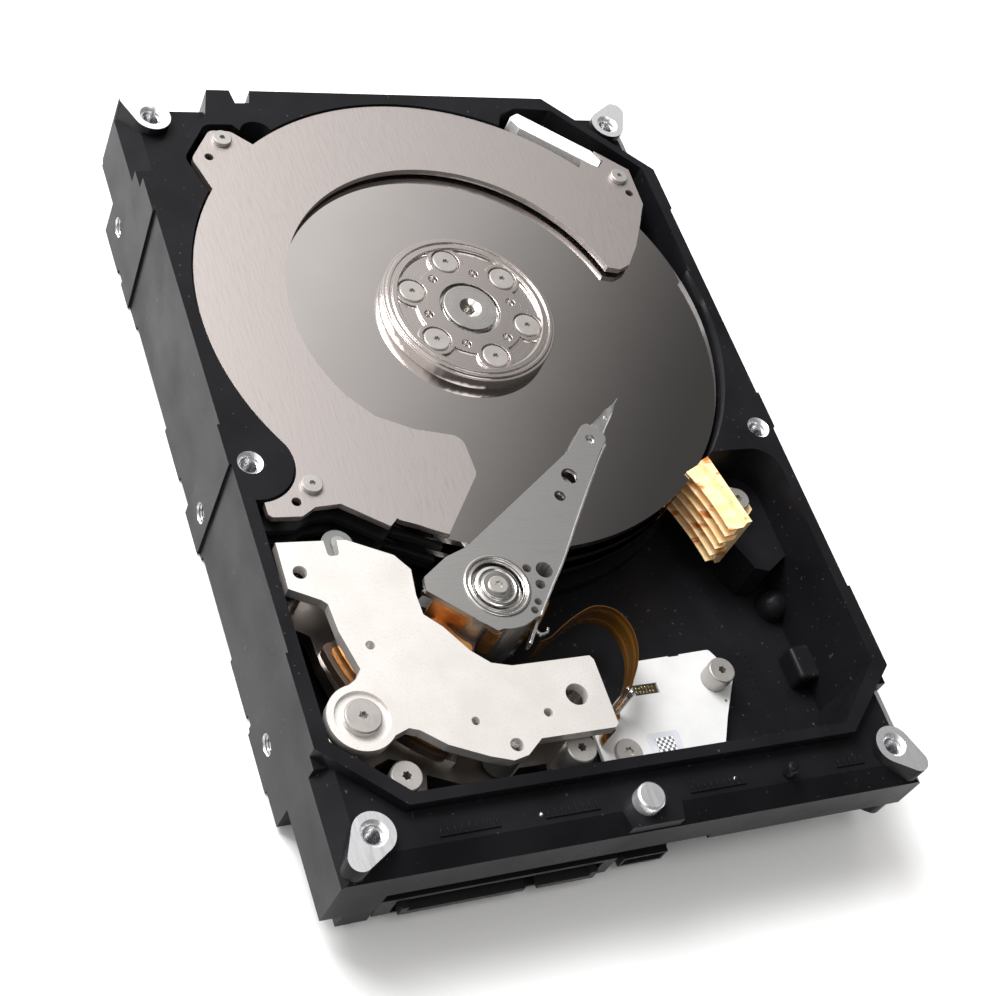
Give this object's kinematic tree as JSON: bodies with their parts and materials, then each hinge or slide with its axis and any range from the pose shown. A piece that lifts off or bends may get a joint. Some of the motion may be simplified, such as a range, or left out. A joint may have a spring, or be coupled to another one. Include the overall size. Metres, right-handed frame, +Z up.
{
  "type": "hard disk drive",
  "caption": "Rectangular open disk drive: mirror platters on a spindle, a swing arm over them, a coil motor in the corner and a connector at the near end.",
  "frame": {"origin": "centre of the outline at the underside's mounting plane", "axes": "+Z up through the open top, +Y along the length towards the spindle end, +X to the right seen from the connector end"},
  "size_m": [0.1016, 0.147, 0.0238],
  "materials": {
    "casting_black": "satin black electrocoat on die-cast aluminium, machined bright at the posts and holes",
    "shaft_steel": "turned and ground steel",
    "hub_aluminium": "machined",
    "platter_mirror": "sputtered mirror finish",
    "clamp_metal": "polished edge, fine turned face",
    "screw_steel": "nickel plated",
    "damper_silver": "warm silver with a fine rolled grain",
    "damper_black": "black anodised",
    "filter_white": "pleated felt in a white frame",
    "ramp_plastic": "moulded amber liquid-crystal polymer",
    "nickel_plate": "electroless nickel with a stippled grain",
    "magnet_nickel": "nickel plated",
    "stop_rubber": "moulded elastomer",
    "arm_aluminium": "extruded and machined",
    "beam_steel": "thin rolled stainless",
    "slider_ceramic": "polished ceramic",
    "copper_wire": "enamelled winding",
    "lamination_steel": "stacked laminations",
    "mould_plastic": "moulded",
    "flex_polyimide": "amber polyimide over copper",
    "bracket_white": "matt white",
    "connector_black": "moulded black",
    "clip_steel": "thin stamped",
    "board_green": "solder mask on laminate",
    "chip_black": "moulded package",
    "contact_gold": "gold plated"
  },
  "bodies": {
    "base": {"base_casting": "casting_black", "spindle_shaft": "shaft_steel", "stator_core": "lamination_steel", "stator_windings": "copper_wire", "top_damper_plate": "damper_silver", "middle_damper_plate": "damper_black", "lower_damper_plate": "damper_black", "damper_spacers": "damper_black", "damper_screws": "screw_steel", "recirculation_filter": "filter_white", "load_ramp": "ramp_plastic", "ramp_screw": "screw_steel", "vcm_top_plate": "nickel_plate", "vcm_bottom_plate": "nickel_plate", "vcm_top_magnet": "magnet_nickel", "vcm_bottom_magnet": "magnet_nickel", "vcm_posts": "shaft_steel", "vcm_screws": "screw_steel", "outer_crash_stop": "stop_rubber", "inner_crash_stop": "stop_rubber", "crash_stop_pins": "shaft_steel", "pivot_shaft": "shaft_steel", "pivot_bearings": "shaft_steel", "pivot_screw": "screw_steel", "flex_bracket": "bracket_white", "flex_bracket_screws": "screw_steel", "flex_connector": "connector_black", "flex_clip": "clip_steel", "flex_cable": "flex_polyimide", "circuit_board": "board_green", "board_screws": "screw_steel", "board_chips": "chip_black", "spindle_contacts": "contact_gold", "motor_lead_strip": "contact_gold", "sata_connector": "connector_black", "sata_contacts": "contact_gold", "jumper_block": "connector_black", "jumper_pins": "contact_gold"},
    "spindle": {"spindle_hub": "hub_aluminium", "rotor_magnet": "magnet_nickel", "platter_1": "platter_mirror", "platter_2": "platter_mirror", "platter_3": "platter_mirror", "platter_spacers": "hub_aluminium", "disk_clamp": "clamp_metal", "clamp_screws": "screw_steel"},
    "actuator": {"arm_block": "arm_aluminium", "suspensions": "beam_steel", "head_sliders": "slider_ceramic", "voice_coil": "copper_wire", "coil_overmould": "mould_plastic", "pivot_sleeve": "hub_aluminium", "preamp_flex": "flex_polyimide"}
  },
  "joints": [
    {"name": "spindle_spin", "type": "hinge", "parent": "base", "child": "spindle", "pos_m": [0, 0.02277, 0.015], "axis": [0, 0, 1], "continuous": true},
    {"name": "actuator_swing", "type": "hinge", "parent": "base", "child": "actuator", "pos_m": [-0.0136, -0.0315, 0.0165], "axis": [0, 0, 1], "range_deg": [-28.5, 13.5]}
  ]
}
